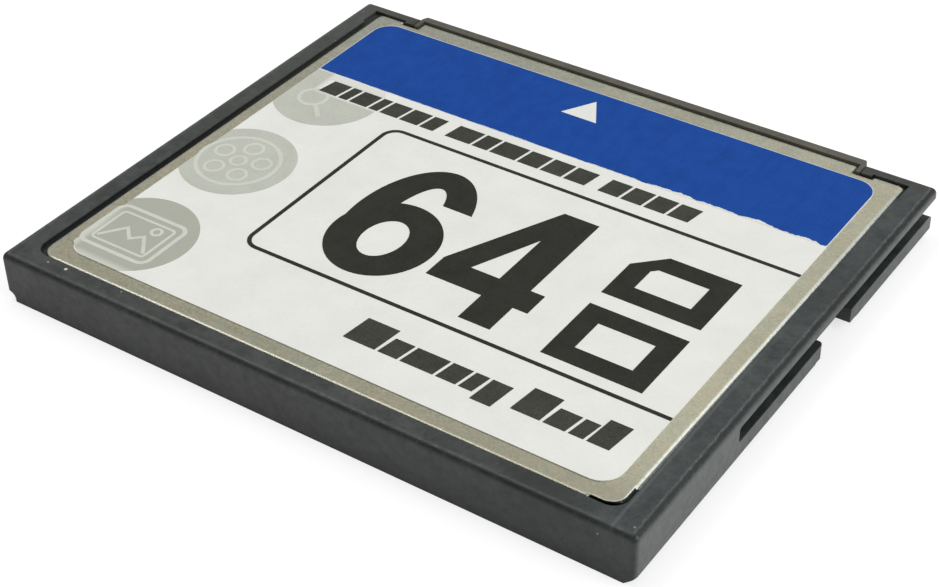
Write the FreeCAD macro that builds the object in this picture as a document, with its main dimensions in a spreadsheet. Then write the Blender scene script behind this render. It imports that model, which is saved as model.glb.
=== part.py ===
import FreeCAD, Part
import math
import os

import Sketcher

# Memory card with a fifty-way socket, as a parametric model in millimetres.
# The card lies on its foot: X runs across it, Y towards the socket and Z up, label on top.
# The origin is the centre of the bounding box, at the height of the surface under the card.

doc = FreeCAD.newDocument("memory_card")
size = doc.addObject("Spreadsheet::Sheet", "Size")
at = doc.addObject("App::VarSet", "At")


# Driving dimensions

DRIVING = [
    # outer form
    ("card_width", 42.8),
    ("card_length", 36.4),
    ("card_thickness", 3.3),
    ("corner_radius", 0.3),
    ("rim_edge_radius", 0.4),
    ("foot_inset", 0.65),
    ("foot_height", 0.63),
    ("foot_cove_radius", 0.45),
    ("foot_slope_height", 0.58),
    ("front_setback", 0.38),
    ("cut_margin", 1.0),
    # guide grooves and key notches, measured back from the front of the nose
    ("groove_length", 25.78),
    ("groove_depth", 1.2),
    ("narrow_groove_floor", 1.6),
    ("groove_height", 1.01),
    ("wide_groove_floor", 0.99),
    ("wide_groove_height", 1.45),
    ("groove_end_radius", 0.2),
    ("rail_setback", 0.5),
    ("rail_end_radius", 0.4),
    ("notch_start", 12.15),
    ("notch_length", 3.6),
    ("notch_corner_radius", 0.3),
    ("foot_relief", 0.8),
    # rims, ledges and the shelf under the board
    ("side_rim", 1.68),
    ("rear_rim", 1.3),
    ("corner_rim", 0.87),
    ("seat_play", 0.25),
    ("pocket_corner_radius", 1.0),
    ("relief_depth", 0.15),
    ("relief_length", 1.6),
    ("bump_width", 0.72),
    ("bump_depth", 0.25),
    ("side_ledge", 1.15),
    ("rear_ledge", 0.63),
    ("board_shelf", 0.9),
    ("corner_block_depth", 1.8),
    ("rib_radius", 0.6),
    ("rib_spacing", 18.0),
    # sheet covers
    ("cover_recess", 0.1),
    ("sheet_thickness", 0.15),
    ("cover_gap", 0.08),
    ("cover_corner_radius", 1.0),
    ("cover_front_radius", 0.4),
    ("cover_relief", 0.13),
    ("cover_relief_length", 1.9),
    ("cover_edge_bevel", 0.1),
    ("tab_width", 3.0),
    ("tab_length", 0.85),
    ("tab_spacing", 10.5),
    ("tab_gap", 0.06),
    # socket housing
    ("nose_inset", 4.9),
    ("nose_slant", 0.22),
    ("nose_gap", 0.07),
    ("lip_depth", 0.67),
    ("lip_gap", 0.11),
    ("lip_return_width", 0.3),
    ("lip_return_length", 0.85),
    ("lip_edge_radius", 0.12),
    ("tongue_gap", 0.1),
    ("ear_width", 0.62),
    ("housing_depth", 5.3),
    ("contact_pitch", 1.27),
    ("row_pitch", 1.27),
    ("row_margin", 1.2),
    ("entry_width", 0.62),
    ("entry_depth", 0.8),
    ("lead_in", 0.15),
    ("cavity_width", 0.72),
    # forked contacts
    ("contact_width", 0.3),
    ("contact_thickness", 0.12),
    ("prong_gap", 0.05),
    ("base_length", 0.8),
    ("base_inset", 0.15),
    ("tip_inset", 0.25),
    ("tail_overlap", 1.4),
    # circuit board
    ("board_thickness", 0.5),
    ("board_gap", 0.2),
    ("rib_gap", 0.15),
    # chips
    ("chip_standoff", 0.05),
    ("chip_clearance", 0.1),
    ("mould_draft", 6.0),
    ("mark_radius", 0.4),
    ("mark_depth", 0.05),
    ("flash_length", 18.4),
    ("flash_width", 12.0),
    ("flash_lead_pitch", 0.5),
    ("flash_leads_per_end", 24),
    ("controller_width", 10.0),
    ("controller_lead_pitch", 0.8),
    ("controller_leads_per_side", 11),
    ("lead_reach", 0.8),
    ("lead_foot", 0.45),
    ("lead_shoulder", 0.15),
    ("lead_thickness", 0.12),
    ("lead_width", 0.2),
    # small parts on the board
    ("crystal_length", 3.2),
    ("crystal_width", 2.5),
    ("crystal_base_height", 0.3),
    ("crystal_lid_height", 0.4),
    ("crystal_lid_inset", 0.2),
    ("regulator_length", 2.9),
    ("regulator_width", 1.6),
    ("regulator_height", 0.9),
    ("regulator_pin_pitch", 0.95),
    ("regulator_pin_width", 0.4),
    ("regulator_pin_reach", 0.6),
    ("bulk_length", 3.2),
    ("bulk_width", 1.6),
    ("bulk_height", 0.9),
    ("bulk_wrap", 0.35),
    ("small_part_length", 1.6),
    ("small_part_width", 0.8),
    ("capacitor_height", 0.8),
    ("resistor_height", 0.45),
    ("end_cap_length", 0.3),
    ("resistor_gap", 0.9),
    # label
    ("label_left_margin", 0.95),
    ("label_right_margin", 1.2),
    ("label_rear_margin", 1.12),
    ("label_front_margin", 0.58),
    ("label_thickness", 0.06),
    ("label_corner_radius", 1.35),
    ("print_thickness", 0.015),
    ("black_thickness", 0.022),
    # artwork of the print, with places counted from its left and rear edges
    ("band_depth", 7.44),
    ("arrow_width", 2.66),
    ("arrow_length", 2.27),
    ("arrow_centre", 17.7),
    ("arrow_inset", 1.0),
    ("disc_radius", 3.7),
    ("disc_centre", 2.66),
    ("disc_pitch", 9.3),
    ("last_disc", 3.4),
    ("disc_gap", 0.08),
    ("line_width", 0.27),
    ("line_corner_radius", 1.1),
    ("box_left", 8.3),
    ("box_bottom", 6.0),
    ("box_length", 15.1),
    ("title_left", 1.7),
    ("title_bottom", 22.1),
    ("title_height", 1.5),
    ("title_gap", 0.76),
    ("title_first_word", 9.1),
    ("title_second_word", 10.3),
    ("title_third_word", 6.2),
    ("word_gap", 0.95),
    ("mark_gap", 0.2),
    ("mark_lean", 0.25),
    ("foot_words_right", 1.5),
    ("foot_words_bottom", 2.3),
    ("foot_words_height", 2.1),
    ("foot_words_low_height", 1.45),
    ("foot_words_drop", 0.5),
    ("foot_first_word", 10.0),
    ("foot_second_word", 6.0),
    ("numeral_left", 11.66),
    ("numeral_bottom", 7.2),
    ("numeral_width", 6.9),
    ("numeral_height", 11.7),
    ("numeral_stroke", 2.1),
    ("thin_stroke", 1.85),
    ("numeral_gap", 0.6),
    ("six_bowl_height", 7.5),
    ("six_hook_height", 3.3),
    ("four_bar_bottom", 2.34),
    ("four_stem_inset", 0.97),
    ("four_counter_height", 8.66),
    ("four_shoulder", 0.3),
    ("sign_left_gap", 2.4),
    ("sign_width", 6.34),
    ("sign_right_margin", 2.35),
    ("sign_bottom", 7.1),
    ("sign_lower_length", 5.2),
    ("sign_upper_length", 4.9),
    ("sign_gap", 1.2),
    ("sign_stroke", 1.35),
    ("sign_corner", 1.7),
]

for row, (alias, number) in enumerate(DRIVING, start=1):
    size.set("A%d" % row, alias.replace("_", " "))
    size.set("B%d" % row, str(number))
    size.setAlias("B%d" % row, alias)
doc.recompute()


def worked_out(name, formula, kind="App::PropertyFloat"):
    """A size or place that follows from the driving dimensions."""
    at.addProperty(kind, name, "Worked out")
    at.setExpression(name, formula)


def spread_out(prefix, low, high, pieces):
    """Middles of pieces laid in a line between two places, with equal gaps."""
    lengths = " - ".join("(%s)" % length for name, length in pieces)
    worked_out(prefix + "_gap", "(%s - (%s) - %s) / %d" % (high, low, lengths, len(pieces) + 1))
    start = low
    for name, length in pieces:
        worked_out(name, "%s + %s_gap + (%s) / 2" % (start, prefix, length))
        start = "%s + (%s) / 2" % (name, length)


# outer form
worked_out("half_width", "Size.card_width / 2")
worked_out("nose_front", "Size.card_length / 2")
worked_out("rear_face", "-Size.card_length / 2")
worked_out("frame_front", "nose_front - Size.front_setback")
worked_out("foot_half_width", "half_width - Size.foot_inset")
worked_out("middle", "Size.card_thickness / 2")
# covers and the pockets that hold them
worked_out("cover_top", "Size.card_thickness - Size.cover_recess")
worked_out("top_ledge", "cover_top - Size.sheet_thickness")
worked_out("bottom_ledge", "Size.cover_recess + Size.sheet_thickness")
worked_out("pocket_half_width", "half_width - Size.side_rim")
worked_out("pocket_rear", "rear_face + Size.rear_rim")
worked_out("pocket_front", "frame_front - Size.corner_rim")
worked_out("cover_half_width", "pocket_half_width - Size.cover_gap")
worked_out("cover_rear", "pocket_rear + Size.cover_gap")
worked_out("cover_shoulder", "pocket_front - Size.cover_gap")
worked_out("slot_inner", "cover_half_width - Size.sheet_thickness - Size.tab_gap")
# cavity and shelf
worked_out("cavity_half_width", "pocket_half_width - Size.side_ledge")
worked_out("cavity_rear", "pocket_rear + Size.rear_ledge")
worked_out("throat_half_width", "cavity_half_width - Size.board_shelf")
worked_out("throat_rear", "cavity_rear + Size.board_shelf")
worked_out("block_back", "frame_front - Size.corner_block_depth")
# grooves
worked_out("groove_floor", "half_width - Size.groove_depth")
worked_out("groove_rear", "nose_front - Size.groove_length")
worked_out("groove_top", "Size.narrow_groove_floor + Size.groove_height")
worked_out("wide_groove_top", "Size.wide_groove_floor + Size.wide_groove_height")
worked_out("rail_cut_top", "Size.narrow_groove_floor + Size.groove_height / 2")
worked_out("rail_front", "frame_front - Size.rail_setback")
worked_out("notch_front", "nose_front - Size.notch_start")
worked_out("notch_rear", "notch_front - Size.notch_length")
# socket
worked_out("nose_half_width", "half_width - Size.nose_inset")
worked_out("root_half_width", "nose_half_width + Size.nose_slant")
worked_out("gate_half_width", "root_half_width + Size.nose_gap")
worked_out("bump_outer", "gate_half_width + Size.bump_width")
worked_out("bump_back", "pocket_front - Size.bump_depth")
worked_out("root_front", "frame_front - Size.nose_gap")
worked_out("lip_back", "nose_front - Size.lip_depth")
worked_out("lip_inner", "root_half_width - Size.lip_return_width")
worked_out("return_back", "lip_back - Size.lip_return_length")
worked_out("cover_front", "lip_back - Size.lip_gap")
worked_out("tongue_half_width", "lip_inner - Size.tongue_gap")
worked_out("cover_notch_outer", "bump_outer + Size.cover_gap")
worked_out("cover_notch_back", "min(bump_back; return_back) - Size.cover_gap")
worked_out("housing_half_width", "root_half_width + Size.ear_width")
worked_out("housing_back", "nose_front - Size.housing_depth")
worked_out("upper_row", "middle + Size.row_pitch / 2")
worked_out("lower_row", "middle - Size.row_pitch / 2")
worked_out("row_room", "2 * (nose_half_width - Size.row_margin)")
worked_out("contacts_per_row", "floor(row_room / Size.contact_pitch) + 1", "App::PropertyInteger")
worked_out("row_length", "Size.contact_pitch * (contacts_per_row - 1)")
worked_out("first_contact", "-row_length / 2")
# board
worked_out("board_top", "middle + Size.board_thickness / 2")
worked_out("board_bottom", "middle - Size.board_thickness / 2")
worked_out("board_half_width", "cavity_half_width - Size.board_gap")
worked_out("board_rear", "cavity_rear + Size.board_gap")
worked_out("board_front", "housing_back - Size.board_gap")
worked_out("cavity_half_height", "upper_row - board_top")
# contacts, given as distances from the middle plane of the card
worked_out("contact_base_rear", "housing_back + Size.base_inset")
worked_out("contact_base_front", "contact_base_rear + Size.base_length")
worked_out("contact_tip", "nose_front - Size.entry_depth - Size.tip_inset")
worked_out("tail_end", "board_front - Size.tail_overlap")
# chips
worked_out("chip_room", "top_ledge - board_top - Size.chip_clearance")
worked_out("chip_height", "chip_room - Size.chip_standoff")
worked_out("chip_seam", "Size.chip_standoff + chip_height / 2")
# places on the board: three columns across it, and the pieces of each column along it
worked_out("flash_span", "Size.flash_length + 2 * Size.lead_reach")
worked_out("controller_span", "Size.controller_width + 2 * Size.lead_reach")
worked_out("regulator_span", "Size.regulator_width + 2 * Size.regulator_pin_reach")
worked_out("parts_rear", "cavity_rear + Size.rib_radius + Size.rib_gap")
spread_out("column", "-board_half_width", "board_half_width", [
    ("flash_across", "Size.flash_width"),
    ("controller_across", "controller_span"),
    ("power_across", "Size.bulk_length"),
])
spread_out("flash_column", "parts_rear", "tail_end", [("upper_flash_along", "flash_span")])
spread_out("underside", "throat_rear", "tail_end", [("lower_flash_along", "flash_span")])
spread_out("controller_column", "parts_rear", "tail_end", [
    ("crystal_along", "Size.crystal_width"),
    ("controller_along", "controller_span"),
    ("rear_resistors_along", "Size.small_part_width"),
    ("front_resistors_along", "Size.small_part_width"),
])
capacitor_names = ["capacitor_%d_along" % k for k in range(5)]
spread_out("power_column", "parts_rear", "tail_end",
           [("bulk_along", "Size.bulk_width")]
           + [(name, "Size.small_part_width") for name in capacitor_names]
           + [("regulator_along", "regulator_span")])
# label
worked_out("label_left", "Size.label_left_margin - cover_half_width")
worked_out("label_right", "cover_half_width - Size.label_right_margin")
worked_out("label_rear", "cover_rear + Size.label_rear_margin")
worked_out("label_front", "cover_notch_back - Size.label_front_margin")
worked_out("label_top", "cover_top + Size.label_thickness")
# the artwork is as large as what it holds, and is stretched to the label
worked_out("numerals_right", "Size.numeral_left + 2 * Size.numeral_width + Size.numeral_gap")
worked_out("sign_right", "numerals_right + Size.sign_left_gap + Size.sign_width")
worked_out("artwork_width", "sign_right + Size.sign_right_margin")
worked_out("band_start", "Size.title_bottom + Size.title_height + Size.title_gap")
worked_out("artwork_length", "band_start + Size.band_depth")
worked_out("stretch", "(label_right - label_left) / artwork_width")
worked_out("rise", "(label_front - label_rear) / artwork_length")
doc.recompute()


# Helpers

def origin_plane(body, role):
    for feature in body.Origin.OriginFeatures:
        if feature.Role == role:
            return feature
    raise RuntimeError("no plane " + role)


def new_body(name, several_solids=False):
    body = doc.addObject("PartDesign::Body", name)
    body.Label = name
    body.AllowCompound = several_solids
    return body


def new_sketch(body, name, role, offset=None):
    """A sketch on one of the body's own planes, moved along that plane's normal."""
    sketch = body.newObject("Sketcher::SketchObject", name)
    sketch.AttachmentSupport = [(origin_plane(body, role), "")]
    sketch.MapMode = "FlatFace"
    if offset is not None:
        sketch.setExpression("AttachmentOffset.Base.z", offset)
    return sketch


first_guess = 10


def polygon(sketch, corners):
    """A closed outline of straight edges, each corner a pair of formulas.

    The corners start evenly round a circle, and their constraints then move them into place.
    """
    count = len(corners)
    first = sketch.GeometryCount
    prefix = "%s_%d" % (sketch.Name, first)
    start = []
    for index in range(count):
        angle = 2 * math.pi * index / count
        start.append(FreeCAD.Vector(first_guess * math.cos(angle), first_guess * math.sin(angle), 0))
    for index in range(count):
        sketch.addGeometry(Part.LineSegment(start[index], start[(index + 1) % count]), False)
    for index in range(count):
        following = first + (index + 1) % count
        sketch.addConstraint(Sketcher.Constraint("Coincident", first + index, 2, following, 1))
    for index, corner in enumerate(corners):
        for kind, value, formula in (
            ("DistanceX", start[index].x, corner[0]),
            ("DistanceY", start[index].y, corner[1]),
        ):
            number = sketch.addConstraint(Sketcher.Constraint(kind, first + index, 1, value))
            name = "%s_%d_%s" % (prefix, index, kind[-1])
            sketch.renameConstraint(number, name)
            sketch.setExpression("Constraints." + name, formula)


def rectangle(sketch, left, right, low, high):
    polygon(sketch, [(left, low), (right, low), (right, high), (left, high)])


def circle(sketch, across, along, radius):
    first = sketch.GeometryCount
    prefix = "%s_%d" % (sketch.Name, first)
    up = FreeCAD.Vector(0, 0, 1)
    sketch.addGeometry(Part.Circle(FreeCAD.Vector(1, 1, 0), up, 1), False)
    for constraint, name, formula in (
        (Sketcher.Constraint("DistanceX", first, 3, 1.0), prefix + "_X", across),
        (Sketcher.Constraint("DistanceY", first, 3, 1.0), prefix + "_Y", along),
        (Sketcher.Constraint("Radius", first, 1.0), prefix + "_R", radius),
    ):
        number = sketch.addConstraint(constraint)
        sketch.renameConstraint(number, name)
        sketch.setExpression("Constraints." + name, formula)


def pad(body, name, sketch, length, downwards=False):
    feature = body.newObject("PartDesign::Pad", name)
    feature.Profile = sketch
    feature.setExpression("Length", length)
    feature.Reversed = downwards
    doc.recompute()
    return feature


def pocket(body, name, sketch, length, reverse=False):
    """Cuts against the sketch's normal, or along it if reversed, and checks that it did."""
    before = body.Shape.Volume
    feature = body.newObject("PartDesign::Pocket", name)
    feature.Profile = sketch
    feature.setExpression("Length", length)
    feature.Reversed = reverse
    doc.recompute()
    if not body.Shape.Volume < before:
        raise RuntimeError(name + " cuts nothing")
    return feature


def edges_where(shape, test):
    """Names of the edges whose bounding boxes pass a test."""
    names = []
    for index, edge in enumerate(shape.Edges, start=1):
        box = edge.BoundBox
        if test(box):
            names.append("Edge%d" % index)
    return names


def near(first, second):
    return abs(first - second) < 0.002


def upright_at(places):
    """Test for upright edges that stand at one of the places in plan."""
    def test(box):
        if box.ZLength < 0.005 or box.XLength > 0.002 or box.YLength > 0.002:
            return False
        return any(near(box.XMin, x) and near(box.YMin, y) for x, y in places)
    return test


def rounded(body, name, base, edge_names, radius):
    feature = body.newObject("PartDesign::Fillet", name)
    feature.Base = (base, edge_names)
    feature.setExpression("Radius", radius)
    doc.recompute()
    return feature


def bevelled(body, name, base, edge_names, bevel):
    feature = body.newObject("PartDesign::Chamfer", name)
    feature.Base = (base, edge_names)
    feature.setExpression("Size", bevel)
    doc.recompute()
    return feature


def repeated(body, name, originals, axis, length, count):
    feature = body.newObject("PartDesign::LinearPattern", name)
    feature.Originals = originals
    feature.Direction = axis
    feature.setExpression("Length", length)
    feature.setExpression("Occurrences", count)
    body.Tip = feature
    doc.recompute()
    return feature


def box(name, left, rear, bottom, width, length, height):
    """A plain block, every face of it placed by a formula."""
    block = doc.addObject("Part::Box", name)
    block.setExpression("Length", width)
    block.setExpression("Width", length)
    block.setExpression("Height", height)
    block.setExpression("Placement.Base.x", left)
    block.setExpression("Placement.Base.y", rear)
    block.setExpression("Placement.Base.z", bottom)
    return block


def group(name, members):
    compound = doc.addObject("Part::Compound", name)
    compound.Label = name
    compound.Links = members
    return compound


# Frame

def make_frame():
    """Moulded frame: rim, ledges for the sheets, shelf for the board, grooves and notches."""
    body = new_body("frame")
    outside = "(At.half_width + Size.cut_margin)"
    beyond = "At.frame_front + Size.cut_margin"
    outline = new_sketch(body, "frame_outline", "XY_Plane")
    rectangle(outline, "-At.half_width", "At.half_width", "At.rear_face", "At.frame_front")
    block = pad(body, "frame_block", outline, "Size.card_thickness")

    corners = [(sign * at.half_width, y) for sign in (-1, 1) for y in (at.rear_face, at.frame_front)]
    names = edges_where(body.Shape, upright_at(corners))
    plan = rounded(body, "frame_corners", block, names, "Size.corner_radius")
    names = edges_where(body.Shape, lambda b: near(b.ZMin, size.card_thickness) and near(b.ZLength, 0))
    rounded(body, "rim_edge", plan, names, "Size.rim_edge_radius")

    # the foot is narrower than the body: a step with a cove on the left, a slope on the right
    foot = new_sketch(body, "foot_step", "XY_Plane", "Size.foot_height")
    rectangle(foot, "-At.foot_half_width", "-" + outside, "At.rear_face - Size.cut_margin", beyond)
    step = pocket(body, "foot_cut", foot, "Size.foot_height + Size.cut_margin")
    names = edges_where(body.Shape, lambda b: near(b.ZMin, size.foot_height) and near(b.ZLength, 0)
                        and near(b.XMin, -at.foot_half_width) and near(b.XLength, 0))
    rounded(body, "foot_cove", step, names, "Size.foot_cove_radius")
    slope = new_sketch(body, "foot_slope", "XZ_Plane", "Size.cut_margin - At.rear_face")
    polygon(slope, [
        ("At.foot_half_width", "0"),
        ("At.half_width", "Size.foot_slope_height"),
        (outside, "Size.foot_slope_height"),
        (outside, "-Size.cut_margin"),
        ("At.foot_half_width", "-Size.cut_margin"),
    ])
    pocket(body, "foot_slope_cut", slope, "Size.card_length + 2 * Size.cut_margin")

    # pockets for the sheets, with play on the left and a relief at each front corner
    for name, level, downwards in (("top", "At.top_ledge", False), ("bottom", "At.bottom_ledge", True)):
        seat = new_sketch(body, name + "_seat", "XY_Plane", level)
        sides = []
        for sign, play in (("", ""), ("-", " + Size.seat_play")):
            wall = "%s(At.pocket_half_width%s)" % (sign, play)
            relief = "%s(At.pocket_half_width%s + Size.relief_depth)" % (sign, play)
            sides.append([
                (wall, "At.pocket_rear"),
                (wall, "At.pocket_front - Size.relief_length"),
                (relief, "At.pocket_front - Size.relief_length"),
                (relief, "At.pocket_front"),
                (sign + "At.bump_outer", "At.pocket_front"),
                (sign + "At.bump_outer", "At.bump_back"),
            ])
        right, left = sides
        polygon(seat, right + left[::-1])
        cut = pocket(body, name + "_seat_cut", seat,
                     "Size.cover_recess + Size.sheet_thickness + Size.cut_margin", reverse=not downwards)
        walls = (at.pocket_half_width, -at.pocket_half_width - size.seat_play)
        names = edges_where(body.Shape, upright_at([(x, at.pocket_rear) for x in walls]))
        rounded(body, name + "_seat_corners", cut, names, "Size.pocket_corner_radius")

    # throat through the frame, wide cavity above the shelf, gate for the socket's nose
    throat = new_sketch(body, "throat", "XY_Plane")
    side = [
        ("At.throat_half_width", "At.throat_rear"),
        ("At.throat_half_width", "At.block_back"),
        ("At.gate_half_width", "At.block_back"),
        ("At.gate_half_width", beyond),
    ]
    polygon(throat, side + [("-" + x, y) for x, y in reversed(side)])
    pocket(body, "throat_cut", throat, "Size.card_thickness + Size.cut_margin", reverse=True)
    cavity = new_sketch(body, "cavity", "XY_Plane", "At.board_bottom")
    rectangle(cavity, "-At.cavity_half_width", "At.cavity_half_width", "At.cavity_rear", "At.block_back")
    pocket(body, "cavity_cut", cavity, "Size.card_thickness", reverse=True)
    ribs = new_sketch(body, "ribs", "XY_Plane", "At.board_bottom")
    for sign in ("", "-"):
        circle(ribs, sign + "Size.rib_spacing / 2", "At.cavity_rear", "Size.rib_radius")
    pad(body, "rib_pair", ribs, "At.top_ledge - At.board_bottom")

    # slots for the tabs of both sheets
    for name, level, upwards in (("top", "At.top_ledge", False), ("bottom", "At.bottom_ledge", True)):
        slots = new_sketch(body, name + "_slots", "XY_Plane", level)
        for sign in ("", "-"):
            rectangle(slots, sign + "At.slot_inner", sign + "At.pocket_half_width",
                      "-Size.tab_spacing - Size.tab_width / 2 - Size.tab_gap",
                      "-Size.tab_spacing + Size.tab_width / 2 + Size.tab_gap")
        cut = pocket(body, name + "_slot_cut", slots, "Size.tab_length + Size.tab_gap", reverse=upwards)
        repeated(body, name + "_slot_row", [cut], (slots, ["V_Axis"]), "2 * Size.tab_spacing", "3")

    # guide grooves: the one on the left is the wider, so the card goes in one way up
    for name, sign, top, height in (
        ("right_groove", "", "At.groove_top", "Size.groove_height"),
        ("left_groove", "-", "At.wide_groove_top", "Size.wide_groove_height"),
    ):
        groove = new_sketch(body, name, "XY_Plane", top)
        rectangle(groove, sign + "At.groove_floor", sign + outside, "At.groove_rear", beyond)
        pocket(body, name + "_cut", groove, height)
    names = edges_where(body.Shape, lambda b: near(b.YMin, at.groove_rear) and near(b.YLength, 0)
                        and near(b.ZLength, 0) and b.XLength > size.groove_depth / 2)
    rounded(body, "groove_ends", body.Tip, names, "Size.groove_end_radius")
    # the lower rails start behind the front, and the one on the right has a rounded end
    ends = new_sketch(body, "rail_ends", "XY_Plane", "At.rail_cut_top")
    for sign in ("", "-"):
        rectangle(ends, sign + "At.groove_floor", sign + outside, "At.rail_front", beyond)
    ends_cut = pocket(body, "rail_end_cut", ends, "At.rail_cut_top + Size.cut_margin")
    names = edges_where(body.Shape, lambda b: near(b.YMin, at.rail_front) and near(b.YLength, 0)
                        and near(b.ZMin, size.narrow_groove_floor) and near(b.ZLength, 0))
    rounded(body, "rail_end", ends_cut, names, "Size.rail_end_radius")
    # key notches through the lower rails, longer in the foot than in the rail
    for name, level, extra in (("notch", "At.rail_cut_top", "0"),
                               ("foot_notch", "Size.foot_height", "Size.foot_relief")):
        notches = new_sketch(body, name + "es", "XY_Plane", level)
        for sign in ("", "-"):
            rectangle(notches, sign + "At.groove_floor", sign + outside,
                      "At.notch_rear - " + extra, "At.notch_front + " + extra)
        notch = pocket(body, name + "_cut", notches, level + " + Size.cut_margin")
        if name == "notch":
            places = [(sign * at.half_width, at.notch_rear) for sign in (-1, 1)]
            names = edges_where(body.Shape, upright_at(places))
            rounded(body, "notch_corners", notch, names, "Size.notch_corner_radius")
    return body


# Covers

def make_cover(name, outer, inner, edge_up):
    """Sheet cover with one relieved rear corner, a tongue to the nose and tabs down its sides."""
    body = new_body(name)
    level = inner if edge_up else outer
    outline = new_sketch(body, name + "_outline", "XY_Plane", level)
    relieved = [
        ("(At.cover_half_width - Size.cover_relief_length)", "At.cover_rear"),
        ("(At.cover_half_width - Size.cover_relief_length)", "At.cover_rear + Size.cover_relief"),
        ("(At.cover_half_width - Size.cover_relief)", "At.cover_rear + Size.cover_relief"),
        ("(At.cover_half_width - Size.cover_relief)", "At.cover_rear + Size.cover_relief_length"),
        ("At.cover_half_width", "At.cover_rear + Size.cover_relief_length"),
    ]
    side = [
        ("At.cover_half_width", "At.cover_shoulder"),
        ("At.cover_notch_outer", "At.cover_shoulder"),
        ("At.cover_notch_outer", "At.cover_notch_back"),
        ("At.tongue_half_width", "At.cover_notch_back"),
        ("At.tongue_half_width", "At.cover_front"),
    ]
    other = [("-" + x, y) for x, y in reversed(side)]
    polygon(outline, relieved + side + other + [("-At.cover_half_width", "At.cover_rear")])
    sheet = pad(body, name + "_sheet", outline, "Size.sheet_thickness")
    corners = [
        (at.cover_half_width - size.cover_relief, at.cover_rear + size.cover_relief),
        (-at.cover_half_width, at.cover_rear),
    ]
    names = edges_where(body.Shape, upright_at(corners))
    plan = rounded(body, name + "_corners", sheet, names, "Size.cover_corner_radius")
    places = [(sign * at.cover_half_width, at.cover_shoulder) for sign in (-1, 1)]
    names = edges_where(body.Shape, upright_at(places))
    plan = rounded(body, name + "_front_corners", plan, names, "Size.cover_front_radius")
    face = at.cover_top if edge_up else size.cover_recess
    names = edges_where(body.Shape, lambda b: near(b.ZMin, face) and near(b.ZLength, 0))
    bevelled(body, name + "_edge", plan, names, "Size.cover_edge_bevel")
    tabs = new_sketch(body, name + "_tabs", "XY_Plane", inner)
    for sign in ("", "-"):
        rectangle(tabs, sign + "(At.cover_half_width - Size.sheet_thickness)", sign + "At.cover_half_width",
                  "-Size.tab_spacing - Size.tab_width / 2", "-Size.tab_spacing + Size.tab_width / 2")
    first = pad(body, name + "_tab_pair", tabs, "Size.tab_length", downwards=edge_up)
    repeated(body, name + "_tab_row", [first], (tabs, ["V_Axis"]), "2 * Size.tab_spacing", "3")
    return body


# Socket housing and contacts

def make_housing():
    """Socket housing: block between the sheets, nose with a lip, two rows of square entries."""
    body = new_body("connector_housing")
    block = new_sketch(body, "housing_block", "XY_Plane", "At.bottom_ledge")
    nose = [
        ("At.root_half_width", "At.root_front"),
        ("At.nose_half_width", "At.nose_front"),
    ]
    side = [
        ("At.housing_half_width", "At.housing_back"),
        ("At.housing_half_width", "At.block_back"),
        ("At.root_half_width", "At.block_back"),
    ] + nose
    polygon(block, side + [("-" + x, y) for x, y in reversed(side)])
    pad(body, "housing_pad", block, "At.top_ledge - At.bottom_ledge")
    lip = new_sketch(body, "lip", "XY_Plane")
    side = [
        ("At.lip_inner", "At.lip_back"),
        ("At.lip_inner", "At.return_back"),
        ("At.root_half_width", "At.return_back"),
    ] + nose
    polygon(lip, side + [("-" + x, y) for x, y in reversed(side)])
    edge = pad(body, "lip_pad", lip, "Size.card_thickness")
    names = edges_where(body.Shape, lambda b: near(b.YMin, at.nose_front) and near(b.YLength, 0)
                        and near(b.ZLength, 0) and b.XLength > at.nose_half_width)
    rounded(body, "lip_edge", edge, names, "Size.lip_edge_radius")

    # entries seen from the front: the sketch looks back along Y, so it is offset by minus Y
    mouth = new_sketch(body, "lead_ins", "XZ_Plane", "-At.nose_front")
    entry = new_sketch(body, "entries", "XZ_Plane", "-At.nose_front")
    chamber = new_sketch(body, "chambers", "XZ_Plane", "-At.housing_back")
    for row in ("At.upper_row", "At.lower_row"):
        for sketch, half_width, half_height in (
            (mouth, "(Size.entry_width / 2 + Size.lead_in)", "(Size.entry_width / 2 + Size.lead_in)"),
            (entry, "Size.entry_width / 2", "Size.entry_width / 2"),
            (chamber, "Size.cavity_width / 2", "At.cavity_half_height"),
        ):
            rectangle(sketch, "At.first_contact - " + half_width, "At.first_contact + " + half_width,
                      row + " - " + half_height, row + " + " + half_height)
    before = body.Shape.Volume
    lead_in = body.newObject("PartDesign::Pocket", "lead_in_cut")
    lead_in.Profile = mouth
    lead_in.setExpression("Length", "Size.lead_in")
    lead_in.Reversed = True
    lead_in.TaperAngle = -45
    doc.recompute()
    if not body.Shape.Volume < before:
        raise RuntimeError("the lead-ins cut nothing")
    entries = pocket(body, "entry_cut", entry, "Size.entry_depth", reverse=True)
    chambers = pocket(body, "chamber_cut", chamber, "Size.housing_depth - Size.entry_depth")
    repeated(body, "entry_rows", [lead_in, entries, chambers], (entry, ["H_Axis"]),
             "At.row_length", "At.contacts_per_row")
    return body


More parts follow.
